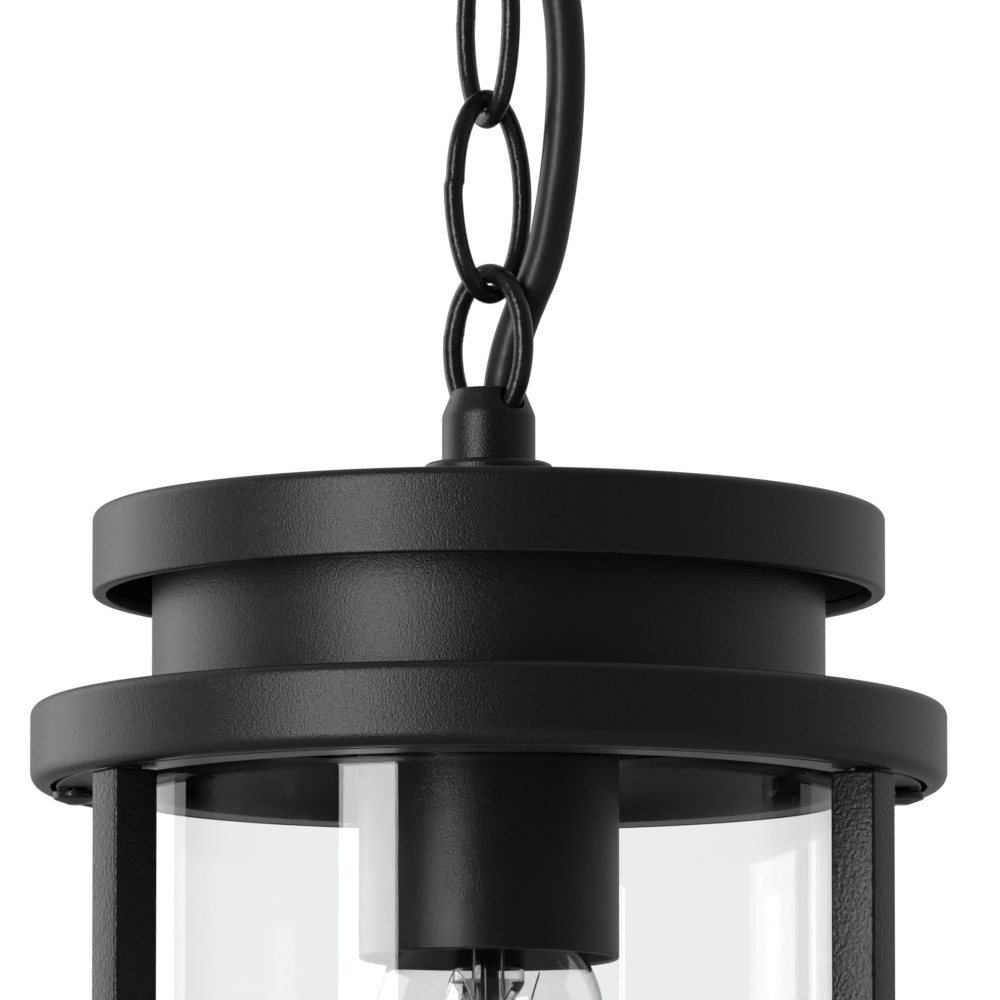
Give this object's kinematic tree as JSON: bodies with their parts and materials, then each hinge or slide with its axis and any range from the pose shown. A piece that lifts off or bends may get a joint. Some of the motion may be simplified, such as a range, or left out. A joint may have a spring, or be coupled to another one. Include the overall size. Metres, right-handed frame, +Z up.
{
  "type": "hanging lantern",
  "caption": "Round hanging lantern: stepped black head, cup round the lamp, square posts about a clear glass tube, on a short chain with its cable.",
  "frame": {"origin": "centre of the ceiling rose's back plate, on its top face against the ceiling, on the line of the chain", "axes": "+Z up, against gravity; -Y is the side with one post on each hand and the cable to the right of the chain"},
  "size_m": [0.179, 0.179, 0.456],
  "materials": {
    "black_coat": "fine textured powder coat, satin black",
    "black_rubber": "matte black",
    "cable_sheath": "black sheath, slight sheen",
    "clear_glass": "clear, smooth",
    "bulb_glass": "clear, thin",
    "zinc_steel": "zinc plated",
    "nickel": "nickel plated screw cap",
    "brass": "bare",
    "ceramic": "glazed off-white",
    "white_plastic": "matte white",
    "core_brown": "matte",
    "core_blue": "matte",
    "core_green": "matte",
    "tungsten": "bare wire"
  },
  "bodies": {
    "ceiling_rose": {"ceiling_plate": "zinc_steel", "rose_cover": "black_coat", "rose_boss": "zinc_steel", "eye_bolt": "black_coat", "eye_nut": "black_coat", "rose_gland": "black_rubber", "rose_terminal": "white_plastic", "supply_cable": "cable_sheath"},
    "link_upper": {"chain_link_upper": "black_coat"},
    "link_middle": {"chain_link_middle": "black_coat"},
    "link_lower": {"chain_link_lower": "black_coat"},
    "lantern": {"chain_loop": "black_coat", "loop_collar": "black_coat", "loop_seal": "black_rubber", "top_cap": "black_coat", "cap_spacer": "zinc_steel", "neck_drum": "black_coat", "loop_washer": "zinc_steel", "loop_nut": "zinc_steel", "ring_pan": "black_coat", "cable_tail": "cable_sheath", "cable_clamp": "white_plastic", "terminal_block": "white_plastic", "core_live": "core_brown", "core_neutral": "core_blue", "core_earth": "core_green", "lamp_cup": "black_coat", "holder_strap": "zinc_steel", "holder_body": "ceramic", "screw_shell": "brass", "centre_contact": "brass", "holder_screw_1": "zinc_steel", "holder_screw_2": "zinc_steel", "ring_boss_1": "zinc_steel", "ring_boss_2": "zinc_steel", "top_gasket": "black_rubber"},
    "cage": {"cage_ring_top": "black_coat", "cage_ring_bottom": "black_coat", "glass_tube": "clear_glass", "bottom_gasket": "black_rubber", "base_pan": "black_coat", "post_1": "black_coat", "post_2": "black_coat", "post_3": "black_coat", "post_screw_top_1": "zinc_steel", "post_screw_top_2": "zinc_steel", "post_screw_top_3": "zinc_steel", "post_screw_base_1": "zinc_steel", "post_screw_base_2": "zinc_steel", "post_screw_base_3": "zinc_steel"},
    "captive_screw_l": {"captive_screw_left": "black_coat"},
    "captive_screw_r": {"captive_screw_right": "black_coat"},
    "bulb": {"bulb_glass": "bulb_glass", "bulb_cap": "nickel", "bulb_mount": "bulb_glass", "bulb_filament": "tungsten"}
  },
  "joints": [
    {"name": "chain_swing", "type": "hinge", "parent": "ceiling_rose", "child": "link_upper", "pos_m": [0, 0, -0.0495], "axis": [0.8829, 0.4695, 0], "range_deg": [-15, 15], "deforming": ["supply_cable"]},
    {"name": "middle_link_twist", "type": "hinge", "parent": "link_upper", "child": "link_middle", "pos_m": [0, 0, -0.08], "axis": [0, 0, 1], "range_deg": [-5, 5]},
    {"name": "lower_link_twist", "type": "hinge", "parent": "link_middle", "child": "link_lower", "pos_m": [0, 0, -0.115], "axis": [0, 0, 1], "range_deg": [-5, 5]},
    {"name": "lantern_swing", "type": "hinge", "parent": "link_lower", "child": "lantern", "pos_m": [0, 0, -0.14375], "axis": [0.7431, -0.6691, 0], "range_deg": [-8, 8]},
    {"name": "bulb_turn", "type": "hinge", "parent": "lantern", "child": "bulb", "pos_m": [0.0001, 0.0017, -0.25], "axis": [0, 0, 1], "continuous": true},
    {"name": "cage_drop", "type": "slide", "parent": "lantern", "child": "cage", "axis": [0, 0, -1], "range_m": [0, 0.09]},
    {"name": "captive_screw_left_turn", "type": "hinge", "parent": "cage", "child": "captive_screw_l", "pos_m": [-0.0803, 0.0017, -0.214], "axis": [0, 0, 1], "continuous": true},
    {"name": "captive_screw_right_turn", "type": "hinge", "parent": "cage", "child": "captive_screw_r", "pos_m": [0.0805, 0.0017, -0.214], "axis": [0, 0, 1], "continuous": true}
  ]
}
